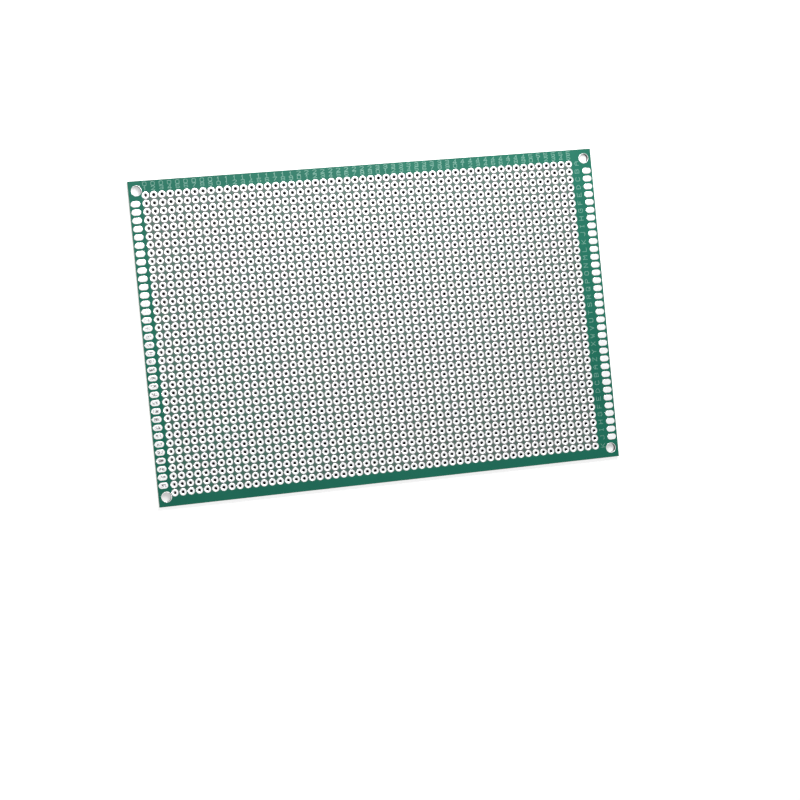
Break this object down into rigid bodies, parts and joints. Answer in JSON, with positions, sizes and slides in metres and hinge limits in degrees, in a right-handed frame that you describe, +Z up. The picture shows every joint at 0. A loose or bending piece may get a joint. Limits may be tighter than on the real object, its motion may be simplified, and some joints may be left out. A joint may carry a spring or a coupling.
{
  "type": "prototyping circuit board",
  "caption": "Rectangular double-sided prototyping board with a full grid of tinned plated-through pads, oval edge pads and corner mounting holes.",
  "frame": {"origin": "centre of the board's outline, at the level that its lower pads rest on", "axes": "+X along the length, towards the edge with the wide margin; +Y towards the edge with the numbered margin; +Z up, out of the upper face"},
  "size_m": [0.15, 0.1, 0.0016],
  "materials": {
    "coated_laminate": "semi-gloss green solder mask on both faces, pale sawn glass-epoxy edge",
    "tinned_copper": "hot-air-levelled tin",
    "index_ink": "thin pale index print on the upper face"
  },
  "bodies": {
    "root": {"edge_pads_left": "tinned_copper", "edge_pads_right": "tinned_copper", "corner_eyelets": "tinned_copper", "pads_row_01": "tinned_copper", "pads_row_02": "tinned_copper", "pads_row_03": "tinned_copper", "pads_row_04": "tinned_copper", "pads_row_05": "tinned_copper", "pads_row_06": "tinned_copper", "pads_row_07": "tinned_copper", "pads_row_08": "tinned_copper", "pads_row_09": "tinned_copper", "pads_row_10": "tinned_copper", "pads_row_11": "tinned_copper", "pads_row_12": "tinned_copper", "pads_row_13": "tinned_copper", "pads_row_14": "tinned_copper", "pads_row_15": "tinned_copper", "pads_row_16": "tinned_copper", "pads_row_17": "tinned_copper", "pads_row_18": "tinned_copper", "pads_row_19": "tinned_copper", "pads_row_20": "tinned_copper", "pads_row_21": "tinned_copper", "pads_row_22": "tinned_copper", "pads_row_23": "tinned_copper", "pads_row_24": "tinned_copper", "pads_row_25": "tinned_copper", "pads_row_26": "tinned_copper", "pads_row_27": "tinned_copper", "pads_row_28": "tinned_copper", "pads_row_29": "tinned_copper", "pads_row_30": "tinned_copper", "pads_row_31": "tinned_copper", "pads_row_32": "tinned_copper", "pads_row_33": "tinned_copper", "pads_row_34": "tinned_copper", "pads_row_35": "tinned_copper", "pads_row_36": "tinned_copper", "pads_row_37": "tinned_copper", "laminate": "coated_laminate"}
  },
  "joints": []
}
